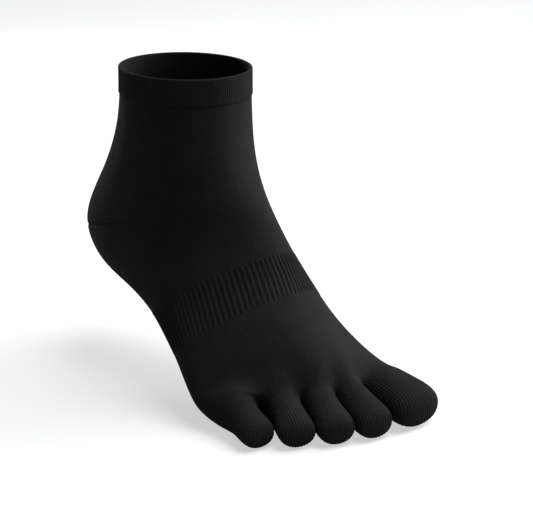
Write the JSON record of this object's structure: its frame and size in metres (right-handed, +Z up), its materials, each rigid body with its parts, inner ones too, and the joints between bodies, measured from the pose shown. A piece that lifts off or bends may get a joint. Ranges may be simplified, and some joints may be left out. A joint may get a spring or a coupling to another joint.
{
  "type": "toe sock",
  "caption": "Ankle-length toe sock in charcoal knit for a right foot, hollow, in its worn form with the heel raised, with a ribbed arch band and separate toes.",
  "frame": {"origin": "centre of the rim, where the leg goes in", "axes": "+Z up along the leg, +X towards the toes, +Y towards the big toe side"},
  "size_m": [0.2264, 0.1041, 0.1731],
  "materials": {
    "cuff_knit": "fine one-by-one ribbed knit, doubled, matt",
    "plain_knit": "fine plain knit, matt with a soft sheen",
    "band_knit": "coarse raised ribs, elastic knit, matt",
    "toe_knit": "ribbed knit, matt"
  },
  "bodies": {
    "root": {"cuff": "cuff_knit", "leg_and_heel": "plain_knit", "arch_band": "band_knit", "forefoot": "plain_knit", "toe_big": "toe_knit", "toe_second": "toe_knit", "toe_middle": "toe_knit", "toe_fourth": "toe_knit", "toe_little": "toe_knit"}
  },
  "joints": []
}
